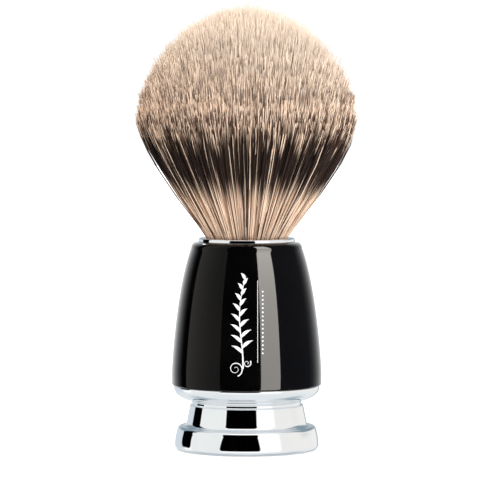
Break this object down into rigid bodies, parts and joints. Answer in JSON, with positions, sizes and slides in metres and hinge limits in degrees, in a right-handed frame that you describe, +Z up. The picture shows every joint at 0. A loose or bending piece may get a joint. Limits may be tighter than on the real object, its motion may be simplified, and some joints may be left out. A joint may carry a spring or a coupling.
{
  "type": "shaving brush",
  "caption": "Shaving brush: a flared bulb of banded soft hair in a thin plated collar, on a glossy black turned barrel with a waisted, weighted plated foot.",
  "frame": {"origin": "centre of the foot pad's underside, on the surface that the brush stands on", "axes": "+Z up along the brush's turning axis, from the foot to the crown of the hair; +X to the right and -Y towards a viewer at the front"},
  "size_m": [0.0552, 0.0552, 0.1105],
  "materials": {
    "banded_hair": "matte",
    "root_hair": "matte",
    "cotton_cord": "matte",
    "bonding_resin": "gloss",
    "black_plastic": "satin",
    "chrome_plate": "polished",
    "seal_rubber": "matte",
    "brass_bush": "satin",
    "black_resin": "gloss",
    "plain_steel": "satin",
    "ballast_iron": "matte",
    "foot_felt": "matte"
  },
  "bodies": {
    "handle": {"foot_pad": "foot_felt", "base_cover": "black_plastic", "ballast_ring": "ballast_iron", "tie_nut": "plain_steel", "spring_washer": "plain_steel", "flat_washer": "plain_steel", "base_foot": "chrome_plate", "base_bowl": "chrome_plate", "tie_rod": "plain_steel", "barrel_seal": "seal_rubber", "barrel": "black_resin", "threaded_insert": "brass_bush", "cup_washer": "seal_rubber", "collar_cup": "chrome_plate", "knot_plug": "bonding_resin", "knot_ferrule": "black_plastic", "binding_thread": "cotton_cord", "hair_root": "root_hair"},
    "knot": {"hair_bulb": "banded_hair"}
  },
  "joints": [
    {"name": "knot_flex", "type": "hinge", "parent": "handle", "child": "knot", "pos_m": [0, 0, 0.053], "axis": [0, 1, 0], "range_deg": [-30, 30], "stiffness_Nm_per_rad": 0.2}
  ]
}
